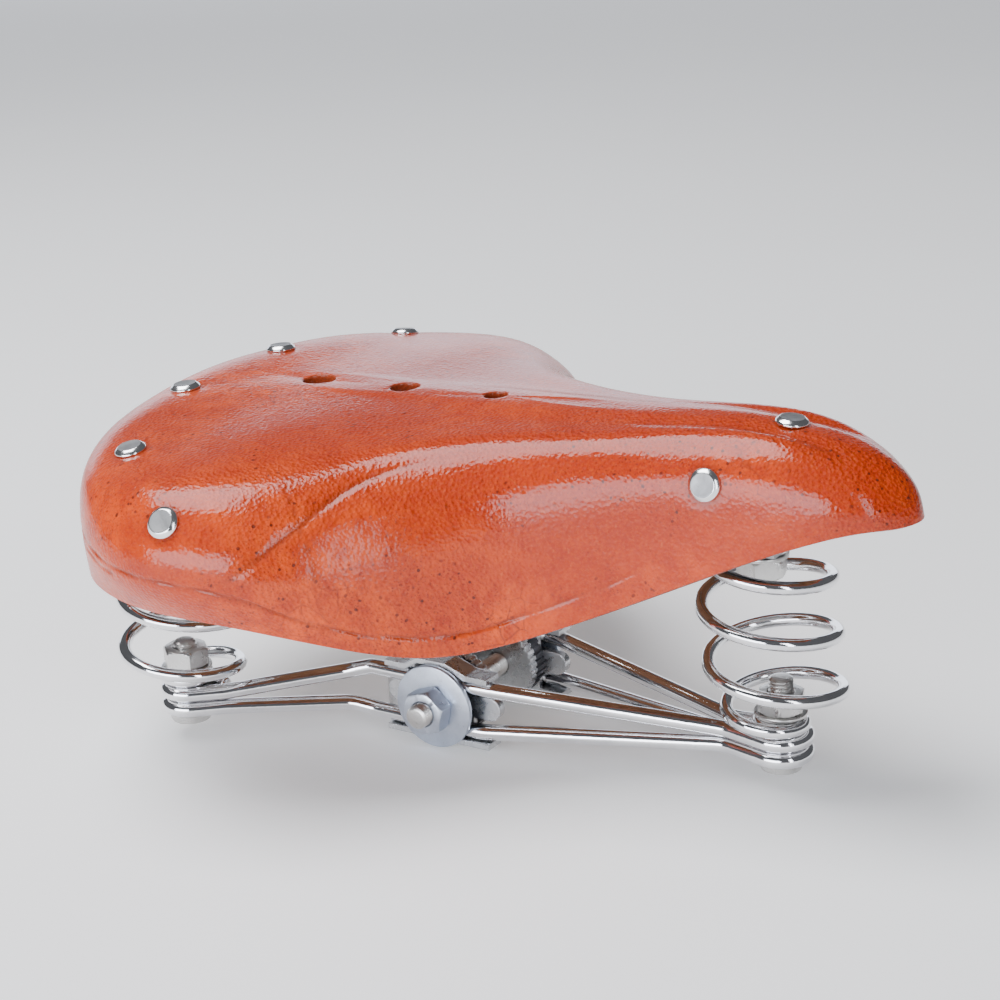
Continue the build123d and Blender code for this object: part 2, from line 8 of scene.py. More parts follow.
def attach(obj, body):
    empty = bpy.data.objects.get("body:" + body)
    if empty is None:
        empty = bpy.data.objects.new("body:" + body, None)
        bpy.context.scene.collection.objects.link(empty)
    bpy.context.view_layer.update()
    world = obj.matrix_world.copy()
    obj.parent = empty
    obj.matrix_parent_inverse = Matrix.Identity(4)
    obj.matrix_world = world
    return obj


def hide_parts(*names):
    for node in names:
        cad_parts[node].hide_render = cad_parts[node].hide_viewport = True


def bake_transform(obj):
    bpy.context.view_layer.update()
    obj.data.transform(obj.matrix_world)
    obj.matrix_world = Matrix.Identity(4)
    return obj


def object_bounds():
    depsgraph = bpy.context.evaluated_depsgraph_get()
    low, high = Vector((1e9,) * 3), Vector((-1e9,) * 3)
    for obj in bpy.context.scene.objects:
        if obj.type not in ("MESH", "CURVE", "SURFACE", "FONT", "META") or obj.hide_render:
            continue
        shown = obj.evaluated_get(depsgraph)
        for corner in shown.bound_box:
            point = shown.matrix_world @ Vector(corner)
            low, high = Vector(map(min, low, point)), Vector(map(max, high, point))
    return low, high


# A sprung leather bicycle saddle. Shapes are worked out in millimetres and stored in metres.
# X points to the nose, Y to the rider's left, Z up.
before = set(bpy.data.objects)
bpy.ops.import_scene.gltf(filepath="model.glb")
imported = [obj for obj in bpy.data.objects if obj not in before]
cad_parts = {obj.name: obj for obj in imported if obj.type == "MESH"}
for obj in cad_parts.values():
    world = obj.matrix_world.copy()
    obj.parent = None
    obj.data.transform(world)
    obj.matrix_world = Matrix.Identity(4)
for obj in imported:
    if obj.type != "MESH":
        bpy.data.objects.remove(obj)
cad_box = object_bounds()

MM = 0.001

# --- dimensions shared with the CAD part --------------------------------------------------
CLAMP_X, CLAMP_Z = 21.0, 9.6
RAIL_Y, RAIL_RISE, WIRE_R = 24.5, 7.7, 2.7
FRONT_BOLT_X, REAR_BOLT_X, REAR_BOLT_Y = 133.2, -60.7, 55.5
FRONT_LEAN, REAR_LEAN = -6.3, 4.2
BOLT_R, HEAD_R, HEAD_T = 4.0, 7.5, 3.0
NUT_AF, NUT_T = 14.0, 6.5
WASHER_R, WASHER_T = 8.5, 1.2
SPRING_WIRE_R, SPRING_R, EYE_R = 2.15, 20.7, 6.9
FRONT_LOOP_R = 8.0
LEATHER_T, PLATE_DEPTH, PLATE_T = 4.5, 1.0, 2.0
GAP, EYE_GAP, BORE_GAP = 0.04, 0.3, 0.2
LOWER_EYE_Z = HEAD_T + GAP + WIRE_R
UPPER_EYE_Z = LOWER_EYE_Z + 2 * WIRE_R + GAP
SPRING_FOOT_Z = UPPER_EYE_Z + WIRE_R + SPRING_WIRE_R + GAP
SPRING_TOP_Z = SPRING_FOOT_Z + 58.0
PLATE_Z = SPRING_TOP_Z + SPRING_WIRE_R + GAP
LOWER_WASHER_Z = SPRING_FOOT_Z + SPRING_WIRE_R + EYE_GAP
LOWER_NUT_Z = LOWER_WASHER_Z + WASHER_T + GAP
UPPER_WASHER_Z = SPRING_TOP_Z - SPRING_WIRE_R - EYE_GAP - WASHER_T
UPPER_NUT_Z = UPPER_WASHER_Z - GAP - NUT_T
UPPER_HEAD_Z = PLATE_Z + PLATE_T + GAP + HEAD_T
UPPER_BOLT_END_Z = 59.6
CLAMP_WASHER_IN = RAIL_Y + WIRE_R + 0.15
CLAMP_WASHER_R, CLAMP_WASHER_T = 14.35, 2.0
STUD_END = 39.6
SPRING_FEET = {
    "front_spring": (FRONT_BOLT_X, 0.0, FRONT_LEAN, 213.0),
    "rear_spring_right": (REAR_BOLT_X, -REAR_BOLT_Y, REAR_LEAN, 69.0),
    "rear_spring_left": (REAR_BOLT_X, REAR_BOLT_Y, REAR_LEAN, 69.0),
}
LOWER_BOLTS = [(x, y) for x, y, _, _ in SPRING_FEET.values()]
UPPER_BOLTS = [(x + lean, y) for x, y, lean, _ in SPRING_FEET.values()]

# --- mesh helpers -------------------------------------------------------------------------
SHARP = math.radians(38)


def make_piece(name, points, faces, materials, body=None, nodes=(), paint=None):
    """A smooth-shaded mesh from points in millimetres; paint gives a material index per face."""
    mesh = bpy.data.meshes.new(name)
    mesh.from_pydata([tuple(float(v) * MM for v in p) for p in points], [], faces)
    mesh.update()
    mesh.shade_smooth()
    mesh.set_sharp_from_angle(angle=SHARP)
    for material in materials:
        mesh.materials.append(material)
    if paint is not None:
        mesh.polygons.foreach_set("material_index", paint)
    piece = bpy.data.objects.new(name, mesh)
    bpy.context.scene.collection.objects.link(piece)
    if body:
        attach(piece, body)
    if nodes:
        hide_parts(*nodes)
    return piece


def grid_faces(rows, columns, close_rows=False):
    """Quads between rings of points; close_rows joins the last ring to the first."""
    faces = []
    for i in range(rows if close_rows else rows - 1):
        here, after = i * columns, (i + 1) % rows * columns
        for j in range(columns):
            beside = (j + 1) % columns
            faces.append((here + j, here + beside, after + beside, after + j))
    return faces


TUBE_ENDS = ((0.0, 0.55), (0.25, 0.86), (0.7, 1.0))  # how far in, and the share of the radius


def tube(path, radius, sides):
    """Points and faces of a round bar along a path, with rounded ends."""
    path = np.array(path, float)
    tangents = np.gradient(path, axis=0)
    tangents /= np.linalg.norm(tangents, axis=1)[:, None]
    normal = np.cross(tangents[0], (0.13, 0.21, 0.97))
    normal /= np.linalg.norm(normal)
    turns = np.arange(sides) * 2 * math.pi / sides
    points = []

    def ring(centre, tangent, reach):
        side = np.cross(tangent, normal)
        circle = np.outer(np.cos(turns), normal) + np.outer(np.sin(turns), side)
        points.extend(centre + reach * circle)

    for step, share in TUBE_ENDS:
        ring(path[0] + tangents[0] * step, tangents[0], radius * share)
    for centre, tangent in zip(path[1:-1], tangents[1:-1]):
        normal = normal - tangent * (normal @ tangent)
        normal /= np.linalg.norm(normal)
        ring(centre, tangent, radius)
    for step, share in TUBE_ENDS[::-1]:
        ring(path[-1] - tangents[-1] * step, tangents[-1], radius * share)
    rows = len(points) // sides
    faces = grid_faces(rows, sides)
    faces.append(tuple(range(sides))[::-1])
    faces.append(tuple(range((rows - 1) * sides, rows * sides)))
    return points, faces


def turned(place, axis, rings, sides=48, shape=None, closed=False, turn=0.0):
    """A lathe form: rings of (height, radius) along an axis; shape bends a ring's radius."""
    axis = Vector(axis).normalized()
    base = Matrix.Identity(3)
    if axis.z < 0.9999:
        base = axis.to_track_quat("Z", "X").to_matrix()
    angles = [2 * math.pi * j / sides for j in range(sides)]
    points = []
    for height, radius in rings:
        for angle in angles:
            reach = shape(radius, angle, height) if shape else radius
            spin = angle + turn
            local = Vector((reach * math.cos(spin), reach * math.sin(spin), height))
            points.append(tuple(base @ local + Vector(place)))
    faces = grid_faces(len(rings), sides, close_rows=closed)
    if not closed:
        faces.append(tuple(range(sides))[::-1])
        faces.append(tuple(range((len(rings) - 1) * sides, len(rings) * sides)))
    return points, faces


def joined(parts):
    """Several (points, faces) as one."""
    points, faces = [], []
    for some_points, some_faces in parts:
        faces += [tuple(len(points) + i for i in face) for face in some_faces]
        points += list(some_points)
    return points, faces


def hexagon(radius, angle, height):
    """A ring's radius, cut down to the flats of a hexagon."""
    away = (angle + math.pi / 6) % (math.pi / 3) - math.pi / 6
    return min(radius, NUT_AF / 2 / math.cos(away))


THREAD_PITCH, THREAD_DEPTH = 1.25, 0.6


def thread(radius, angle, height):
    """A ring's radius on a screw thread."""
    phase = (height / THREAD_PITCH - angle / (2 * math.pi)) % 1.0
    return radius - THREAD_DEPTH * abs(2 * phase - 1)


THREAD_STEP = 0.16


def threaded(place, axis, start, end):
    """A threaded bar from start to end along the axis, with a bevelled tip."""
    steps = max(2, int((end - start) / THREAD_STEP))
    rings = [(start, BOLT_R * 0.9)]
    rings += [(start + (end - start - 1.0) * i / steps, BOLT_R) for i in range(steps + 1)]
    rings += [(end - 0.6, BOLT_R * 0.97), (end - 0.1, BOLT_R * 0.8), (end, BOLT_R * 0.72), (end, 0.4)]
    return turned(place, axis, rings, 36, lambda r, a, h: thread(r, a, h) if r == BOLT_R else r)


def nut(place, axis, turn=0.0):
    """A chamfered hexagon nut standing on a place."""
    low, high, flat = 0.85, NUT_T - 0.85, NUT_AF / 2 * 0.97
    corner = NUT_AF / 2 / math.cos(math.pi / 6)
    bore = BOLT_R + GAP
    rings = [(0.0, bore + 0.5), (0.0, flat)]
    rings += [(low * k / 4, flat + (corner - flat) * k / 4 + 0.01) for k in (1, 2, 3, 4)]
    rings += [(high + low * k / 4, corner - (corner - flat) * k / 4 + 0.01) for k in (0, 1, 2, 3)]
    rings += [(NUT_T, flat), (NUT_T, bore + 0.5), (NUT_T - 0.5, bore), (0.5, bore)]
    return turned(place, axis, rings, 96, hexagon, closed=True, turn=turn)


def flat_ring(place, axis, outer, inner, thick, edge=0.25):
    """A washer with its edges eased."""
    rings = [(0, inner), (0, outer - edge), (edge * 0.3, outer - edge * 0.3), (edge, outer)]
    rings += [(thick - edge, outer), (thick - edge * 0.3, outer - edge * 0.3), (thick, outer - edge)]
    rings += [(thick, inner + edge), (thick - edge, inner)]
    return turned(place, axis, rings, 72, closed=True)


def bolt_head(place, axis):
    """A low round head whose face is at the place and whose shank leaves along the axis."""
    rings = [(0.0, 0.5), (0.0, HEAD_R - 1.3), (0.15, HEAD_R - 0.95), (1.6, HEAD_R - 0.35)]
    rings += [(2.6, HEAD_R - 0.03), (HEAD_T - 0.1, HEAD_R), (HEAD_T, HEAD_R - 0.15), (HEAD_T, 3.0)]
    return turned(place, axis, rings, 64)


# --- the leather's outer surface, as in the CAD part --------------------------------------
# Stations round half the outline, from the middle of the rear to the tip of the nose.
# Each gives a point on the lower edge, the side, the shoulder and the edge of the top.
STATIONS = [
    ((-95, 0, 66), (-98, 0, 83), (-94.5, 0, 99), (-83, 0, 107)),
    ((-91.5, 38, 65.5), (-95, 38, 82.5), (-91, 37, 98.5), (-79, 33, 106.2)),
    ((-82, 67, 64.3), (-84.5, 67.5, 80.5), (-82, 65.5, 97), (-70, 57, 105)),
    ((-66, 91, 62.6), (-66.5, 92.5, 79), (-65, 89.5, 94.5), (-54, 76, 102.8)),
    ((-38, 101, 60.3), (-38, 109, 77), (-38, 104, 92), (-32, 86, 102.3)),
    ((-8, 98, 58.6), (-8, 106, 75.5), (-10, 101.5, 90.5), (-13, 85, 101.8)),
    ((18, 85.5, 52.5), (15, 91, 73), (11, 85.5, 91), (5, 71, 101.5)),
    ((42, 64, 44.5), (38, 65, 70), (33, 62, 92), (27, 50, 103.5)),
    ((66, 43.5, 47), (64, 43.5, 74), (62, 40, 96), (60, 31, 106.5)),
    ((100, 33, 61.5), (100, 31, 84), (100, 28, 101.5), (100, 20, 110.5)),
    ((137, 28, 79.3), (137, 26.5, 93), (137, 23, 106), (137, 15.5, 113)),
    ((163, 19, 88.4), (163, 18.5, 96), (161, 16, 103), (157, 11, 108.8)),
    ((174.5, 9.5, 89.3), (173, 9, 97), (168, 8, 103.6), (160, 6, 109.3)),
    ((179, 0, 89.7), (177, 0, 97), (171.5, 0, 103.8), (162, 0, 109.4)),
]
TOP_CENTRE, TOP_LENGTH, TOP_WIDTH = 35.0, 92.0, 17.0


def crown(x, y):
    """Height of the flat of the top."""
    fall = 0.001 + 0.00006 * np.maximum(0.0, x + 60)
    return 108.9 + 0.04 * x + 0.00008 * x * x - fall * y * y


def spline_table(knots, values, places):
    """Natural cubic splines, one to a row: knots (n, k), values (n, k, 3), places (n, m)."""
    count, size = knots.shape
    step = np.diff(knots, axis=1)
    bend = np.zeros((count, size, size))
    load = np.zeros(values.shape)
    bend[:, 0, 0] = bend[:, -1, -1] = 1
    for i in range(1, size - 1):
        bend[:, i, i - 1] = step[:, i - 1]
        bend[:, i, i] = 2 * (step[:, i - 1] + step[:, i])
        bend[:, i, i + 1] = step[:, i]
        after = (values[:, i + 1] - values[:, i]) / step[:, i, None]
        before = (values[:, i] - values[:, i - 1]) / step[:, i - 1, None]
        load[:, i] = 6 * (after - before)
    curve = np.linalg.solve(bend, load)
    found = (places[:, :, None] >= knots[:, None, 1:-1]).sum(2)
    row = np.arange(count)[:, None]
    width = step[row, found]
    a = ((knots[row, found + 1] - places) / width)[:, :, None]
    b = ((places - knots[row, found]) / width)[:, :, None]
    width = width[:, :, None]
    ends = a * values[row, found] + b * values[row, found + 1]
    arch = (a**3 - a) * curve[row, found] + (b**3 - b) * curve[row, found + 1]
    return ends + arch * width * width / 6


WRAP = 4  # stations repeated at each end, so that the closed spline has no seam


def leather_points(turns, reaches):
    """The outer surface: turns about the disc, 0 at the rear and 1 at the nose, by reaches."""
    half = np.array(STATIONS, float)
    full = np.concatenate([half, half[1:-1][::-1] * [1, -1, 1]])
    count = len(full)
    index = np.arange(-WRAP, count + WRAP + 1)
    knots = (index * 2 / count)[None]
    values = full[index % count].reshape(1, len(index), 12)
    rows = spline_table(knots, values, np.array(turns, float)[None])[0].reshape(-1, 4, 3)
    angle = np.array(turns) * math.pi
    column = []
    for part in (0, 0.5, 1):
        x = TOP_CENTRE - part * TOP_LENGTH * np.cos(angle)
        y = part * TOP_WIDTH * np.sin(angle)
        column.append(np.stack([x, y, crown(x, y)], 1))
    column += [rows[:, 3], rows[:, 2], rows[:, 1], rows[:, 0]]
    column = np.stack(column, 1)
    chords = np.sqrt(np.linalg.norm(np.diff(column, axis=1), axis=2))
    knots = np.concatenate([np.zeros((len(turns), 1)), np.cumsum(chords, 1)], 1)
    return spline_table(knots, column, np.array(reaches)[None] * knots[:, -1:])


TURNS = 560
turn_list = np.arange(TURNS) * 2 / TURNS
REACHES = np.concatenate([np.linspace(0.008, 0.86, 150), np.linspace(0.86, 1.0, 72)[1:]])
outer = leather_points(turn_list, REACHES)
# Near the middle line the columns' first points lie close together, so keep them apart.
APART, APART_REACH = 0.3, 0.5
away = np.sign(np.sin(turn_list * math.pi)).round()[:, None]
ramp_end = int(np.searchsorted(REACHES, APART_REACH))
least = APART * np.abs(outer[:, ramp_end, 1])[:, None] * REACHES[None, :ramp_end] / APART_REACH
outer[:, :ramp_end, 1] = away * np.maximum(away * outer[:, :ramp_end, 1], least)


def grid_normals(points):
    """Outward unit normals of the closed grid."""
    around = np.roll(points, -1, 0) - np.roll(points, 1, 0)
    along = np.gradient(points, axis=1)
    normal = np.cross(along, around)
    return normal / np.linalg.norm(normal, axis=2)[:, :, None]


# Normals that point toward a line inside the hollow are turned round.
HEART_REAR, HEART_NOSE, HEART_Z = -60, 140, 50
normals = grid_normals(outer)
heart = np.zeros(outer.shape)
heart[:, :, 0] = np.clip(outer[:, :, 0], HEART_REAR, HEART_NOSE)
heart[:, :, 2] = HEART_Z
normals *= np.sign(((outer - heart) * normals).sum(2))[:, :, None]

# Lines pressed into the leather, as (turn, reach) along the right side; the left mirrors them.
BORDER_LINE = [
    (2.3, 0.90), (2.1, 0.89), (1.9, 0.88), (1.75, 0.875), (1.647, 0.876), (1.587, 0.89),
    (1.527, 0.938), (1.473, 0.950), (1.42, 0.952), (1.37, 0.942), (1.33, 0.934), (1.283, 0.918),
]
WING_CREASE = [
    (1.60, 0.86), (1.57, 0.79), (1.543, 0.716), (1.52, 0.65), (1.497, 0.585), (1.473, 0.54), (1.447, 0.517),
    (1.417, 0.512),
]
CRACK = [
    (1.545, 0.50), (1.54, 0.56), (1.532, 0.64), (1.527, 0.71), (1.522, 0.79), (1.523, 0.86), (1.518, 0.93),
]


LINE_COUNT = 260
TURN_WEIGHT = 3  # a turn is about three times as long on the surface as a reach


def line_points(line, side):
    """Points of the surface along a pressed line, on the right (1) or the left (-1)."""
    line = np.array(line, float)
    lengths = np.linalg.norm(np.diff(line, axis=0) * [TURN_WEIGHT, 1], axis=1)
    steps = np.concatenate([[0], np.cumsum(lengths)])
    even = np.linspace(0, steps[-1], LINE_COUNT)
    smooth = spline_table(steps[None], np.pad(line, ((0, 0), (0, 1)))[None], even[None])[0]
    turns = smooth[:, 0] % 2 if side == 1 else (2 - smooth[:, 0]) % 2
    return np.array([leather_points([t], [r])[0, 0] for t, r in zip(turns, smooth[:, 1])]), even / steps[-1]


FAR, LINE_REACH, CHUNK = 1e3, 7.0, 20000


def distance_to(points, line, share):
    """How far each point is from a line, and how far along the line that is."""
    flat = points.reshape(-1, 3)
    near = np.full(len(flat), FAR)
    along = np.zeros(len(flat))
    low, high = line.min(0) - LINE_REACH, line.max(0) + LINE_REACH
    inside = np.nonzero(np.all((flat > low) & (flat < high), axis=1))[0]
    for start in range(0, len(inside), CHUNK):
        some = inside[start : start + CHUNK]
        gaps = np.linalg.norm(flat[some, None] - line[None], axis=2)
        nearest = gaps.argmin(1)
        near[some] = gaps[np.arange(len(some)), nearest]
        along[some] = share[nearest]
    return near.reshape(points.shape[:2]), along.reshape(points.shape[:2])


def groove(points, line, side, width, depth, fade_in, fade_out):
    """The depth of a pressed line at each point of the surface."""
    path, share = line_points(line, side)
    near, along = distance_to(points, path, share)
    strength = np.clip(along / fade_in, 0, 1) * np.clip((1 - along) / fade_out, 0, 1)
    return depth * np.exp(-((near / width) ** 2)) * strength


# Each groove: its line, width and depth, the shares over which its ends fade, and its sides.
BOTH, RIGHT_ONLY = (1, -1), (1,)
GROOVES = (
    (BORDER_LINE, 0.8, 0.6, 0.001, 0.12, BOTH),
    (WING_CREASE, 1.1, 0.55, 0.25, 0.35, BOTH),
    (WING_CREASE, 4.5, 0.5, 0.3, 0.4, BOTH),
    (CRACK, 0.55, 0.13, 0.2, 0.3, RIGHT_ONLY),
)
SHADED_LINE_WIDTH = 2.0  # narrower grooves also get painted shade: the leather's colour is darkened along them
pressed = np.zeros(outer.shape[:2])
painted_shade_and_rings = np.zeros(outer.shape[:2])
for side in BOTH:
    for line, width, depth, fade_in, fade_out, sides in GROOVES:
        if side not in sides:
            continue
        dip = groove(outer, line, side, width, depth, fade_in, fade_out)
        pressed += dip
        # a narrow groove's depth also sets painted shade in the leather's colour
        if width < SHADED_LINE_WIDTH:
            painted_shade_and_rings = np.maximum(painted_shade_and_rings, dip / depth)

# Rivets: places of the heads' seats on the surface.
REAR_RIVETS = [(-22.1, 104, 92.2), (-57, 76.8, 101.3), (-74.8, 26.5, 105.2)]
NOSE_RIVETS = [(137.8, 0, 116.4), (120.7, 26, 100)]


def seats(places):
    """(point, normal) of the surface nearest to each place and its mirror image."""
    found = []
    for x, y, z in places:
        for side in (1, -1) if y else (1,):
            gap = np.linalg.norm(outer - (x, side * y, z), axis=2)
            i, j = np.unravel_index(gap.argmin(), gap.shape)
            found.append((outer[i, j].copy(), normals[i, j].copy()))
    return found


SEAT_DEPTH, SEAT_R = 0.45, 6.6
# a dark ring in the leather's colour round each rivet head, just outside its rim
RIVET_RING_R, RIVET_RING_WIDTH, RIVET_RING_SHARE = 5.6, 0.9, 0.5
INNER_DEPTH = LEATHER_T - 0.1
rear_seats, nose_seats = seats(REAR_RIVETS), seats(NOSE_RIVETS)
for centre, _ in rear_seats + nose_seats:
    near = np.linalg.norm(outer - centre, axis=2)
    pressed += SEAT_DEPTH * np.exp(-((near / SEAT_R) ** 4))
    # darken the leather in a ring just outside each head
    painted_shade_and_rings = np.maximum(painted_shade_and_rings, RIVET_RING_SHARE * np.exp(-(((near - RIVET_RING_R) / RIVET_RING_WIDTH) ** 2)))

outer_rest = outer.copy()
outer = outer - normals * pressed[:, :, None]
inner = outer_rest - normals * INNER_DEPTH

# --- the leather as one closed mesh, with round vents and a rolled edge -------------------
VENTS = [(-38.7, 5.5), (-3.3, 4.9), (32.4, 3.8)]
RIM, RIM_REACH = 0.55, 3
TOP_ABOVE = 95
INNER_EDGE, CUT_EDGE = 0.6, 1.0  # values of the edge attribute
# Rings of a vent's wall: how far outside its bore, and how deep.
VENT_WALL = ((0.32, 0.08), (0.10, 0.32), (0.0, 0.7), (0.0, 2.2))
# Rings of the rolled edge: the share of the way to the inner side, and how far out.
ROLLED_EDGE = ((0.08, 0.28), (0.25, 0.55), (0.5, 0.68), (0.75, 0.55), (0.92, 0.25))
COLUMN = outer.shape[1]
HALF = TURNS * COLUMN


def vent_cells():
    """Which cells of the grid are open, because a vent passes through them."""
    after = np.roll(outer, -1, 0)
    centres = (outer[:, :-1] + after[:, :-1] + outer[:, 1:] + after[:, 1:]) / 4
    found = np.zeros(centres.shape[:2], bool)
    for x, radius in VENTS:
        near = np.hypot(centres[:, :, 0] - x, centres[:, :, 1])
        found |= (near < radius + RIM) & (centres[:, :, 2] > TOP_ABOVE)
    return found


def skin_faces():
    """Quads of the outer and inner skins, and the edges round the vents."""
    vented = vent_cells()
    quads, edges = [], {}
    for i in range(TURNS):
        after = (i + 1) % TURNS
        for j in range(COLUMN - 1):
            if vented[i, j]:
                continue
            a, b = i * COLUMN + j, i * COLUMN + j + 1
            c, d = after * COLUMN + j + 1, after * COLUMN + j
            quads.append((a, b, c, d))
            quads.append((HALF + d, HALF + c, HALF + b, HALF + a))
            for first, last in ((a, b), (b, c), (c, d), (d, a)):
                if (last, first) in edges:
                    del edges[(last, first)]
                else:
                    edges[(first, last)] = True
    lower = COLUMN - 1
    return quads, [e for e in edges if e[0] % COLUMN != lower or e[1] % COLUMN != lower]


def vent_walls(body, rim_edges):
    """Moves the rims onto circles, and gives the walls' points and quads."""
    extra, walls, quads = [], {}, []
    for x, radius in VENTS:
        middle = np.array([x, 0])
        loop = {v for e in rim_edges for v in e if np.hypot(body[v, 0] - x, body[v, 1]) < radius + RIM_REACH}
        for v in loop:
            angle = math.atan2(body[v, 1], body[v, 0] - x)
            way = np.array([math.cos(angle), math.sin(angle)])
            body[v, :2] = middle + way * (radius + RIM)
            body[HALF + v, :2] = middle + way * radius
            steps = []
            for inward, down in VENT_WALL:
                steps.append(len(body) + len(extra))
                extra.append(np.append(middle + way * (radius + inward), body[v, 2] - down))
            walls[v] = [v, *steps, HALF + v]
    for first, last in rim_edges:
        if first in walls and last in walls:
            near, far = walls[last], walls[first]
            quads += [(near[k], far[k], far[k + 1], near[k + 1]) for k in range(len(near) - 1)]
    return np.array(extra), quads


def lower_edge(body):
    """Points and quads that round the lower edge over from the outer to the inner side."""
    rolled, rings = [], []
    for i in range(TURNS):
        v = i * COLUMN + COLUMN - 1
        away = outer_rest[i, -1] - outer_rest[i, -2]
        away /= np.linalg.norm(away)
        steps = []
        for share, out in ROLLED_EDGE:
            steps.append(len(body) + len(rolled))
            rolled.append(body[v] * (1 - share) + body[HALF + v] * share + away * out)
        rings.append([v, *steps, HALF + v])
    quads = []
    for here, after in zip(rings, rings[1:] + rings[:1]):
        quads += [(here[k], here[k + 1], after[k + 1], after[k]) for k in range(len(here) - 1)]
    return np.array(rolled), quads


def build_leather():
    """Points, faces, and three values for each point: edge, painted shade in the pressed lines with the dark
    rings round the rivets, and whether it is inside.
    """
    quads, rim_edges = skin_faces()
    body = np.concatenate([outer.reshape(-1, 3), inner.reshape(-1, 3)])
    points, faces = vent_walls(body, rim_edges)
    body = np.concatenate([body, points])
    quads += faces
    points, faces = lower_edge(body)
    body = np.concatenate([body, points])
    quads += faces
    # the middle of the grid lies inside the front vent, so nothing closes it
    edge = np.zeros(len(body))
    edge[HALF : 2 * HALF] = INNER_EDGE
    edge[2 * HALF :] = CUT_EDGE
    painted_shade_and_ring_values = np.zeros(len(body))
    painted_shade_and_ring_values[:HALF] = painted_shade_and_rings.reshape(-1)
    inside = np.zeros(len(body), bool)
    inside[HALF : 2 * HALF] = True
    return body, quads, edge, painted_shade_and_ring_values, inside


# --- materials ----------------------------------------------------------------------------
class Nodes:
    """Builds one material's node tree."""

    def __init__(self, name):
        self.material = bpy.data.materials.new(name)
        self.material.use_nodes = True
        self.tree = self.material.node_tree
        self.shader = self.tree.nodes["Principled BSDF"]
        self.place = self.tree.nodes.new("ShaderNodeTexCoord").outputs["Object"]

    def link(self, value, socket):
        if isinstance(value, bpy.types.NodeSocket):
            self.tree.links.new(value, socket)
        else:
            socket.default_value = value

    def noise(self, scale, detail=4.0, rough=0.55, stretch=None, warp=0.0):
        node = self.tree.nodes.new("ShaderNodeTexNoise")
        node.inputs["Scale"].default_value = scale
        node.inputs["Detail"].default_value = detail
        node.inputs["Roughness"].default_value = rough
        node.inputs["Distortion"].default_value = warp
        self.tree.links.new(self.stretched(stretch), node.inputs["Vector"])
        return node.outputs["Fac"]

    def stretched(self, stretch):
        if stretch is None:
            return self.place
        node = self.tree.nodes.new("ShaderNodeMapping")
        node.inputs["Scale"].default_value = stretch[:3]
        if len(stretch) > 3:
            node.inputs["Rotation"].default_value = stretch[3:]
        self.tree.links.new(self.place, node.inputs["Vector"])
        return node.outputs["Vector"]

    def cells(self, scale, feature="F1", warp=0.0):
        node = self.tree.nodes.new("ShaderNodeTexVoronoi")
        node.feature = feature
        node.inputs["Scale"].default_value = scale
        vector = self.place
        if warp:
            shift = self.tree.nodes.new("ShaderNodeTexNoise")
            shift.inputs["Scale"].default_value = scale * 0.7
            self.tree.links.new(self.place, shift.inputs["Vector"])
            mixed = self.tree.nodes.new("ShaderNodeVectorMath")
            mixed.operation = "MULTIPLY_ADD"
            self.tree.links.new(shift.outputs["Color"], mixed.inputs[0])
            mixed.inputs[1].default_value = (warp, warp, warp)
            self.tree.links.new(vector, mixed.inputs[2])
            vector = mixed.outputs["Vector"]
        self.tree.links.new(vector, node.inputs["Vector"])
        return node.outputs["Distance"]

    def attribute(self, name):
        node = self.tree.nodes.new("ShaderNodeAttribute")
        node.attribute_name = name
        return node.outputs["Fac"]

    def ramp(self, value, low, high, first=0.0, last=1.0):
        node = self.tree.nodes.new("ShaderNodeMapRange")
        self.link(value, node.inputs["Value"])
        for key, number in (("From Min", low), ("From Max", high), ("To Min", first), ("To Max", last)):
            node.inputs[key].default_value = number
        return node.outputs["Result"]

    def maths(self, operation, a, b=0.0):
        node = self.tree.nodes.new("ShaderNodeMath")
        node.operation = operation
        self.link(a, node.inputs[0])
        self.link(b, node.inputs[1])
        return node.outputs["Value"]

    def mix(self, share, a, b):
        node = self.tree.nodes.new("ShaderNodeMix")
        node.data_type = "RGBA"
        self.link(share, node.inputs["Factor"])
        for value, socket in ((a, node.inputs["A"]), (b, node.inputs["B"])):
            target = [s for s in node.inputs if s.name == socket.name and s.type == "RGBA"][0]
            self.link((*value, 1.0) if isinstance(value, tuple) else value, target)
        return [s for s in node.outputs if s.type == "RGBA"][0]

    def bump(self, height, distance, strength=1.0, below=None):
        node = self.tree.nodes.new("ShaderNodeBump")
        node.inputs["Distance"].default_value = distance
        node.inputs["Strength"].default_value = strength
        self.link(height, node.inputs["Height"])
        if below is not None:
            self.tree.links.new(below, node.inputs["Normal"])
        return node.outputs["Normal"]

    def bevel(self, radius):
        node = self.tree.nodes.new("ShaderNodeBevel")
        node.samples = 4
        node.inputs["Radius"].default_value = radius
        return node.outputs["Normal"]

    def finish(self, colour, rough, normal=None, **fixed):
        self.link((*colour, 1.0) if isinstance(colour, tuple) else colour, self.shader.inputs["Base Color"])
        self.link(rough, self.shader.inputs["Roughness"])
        if normal is not None:
            self.link(normal, self.shader.inputs["Normal"])
        for name, value in fixed.items():
            self.shader.inputs[name.replace("_", " ")].default_value = value
        return self.material


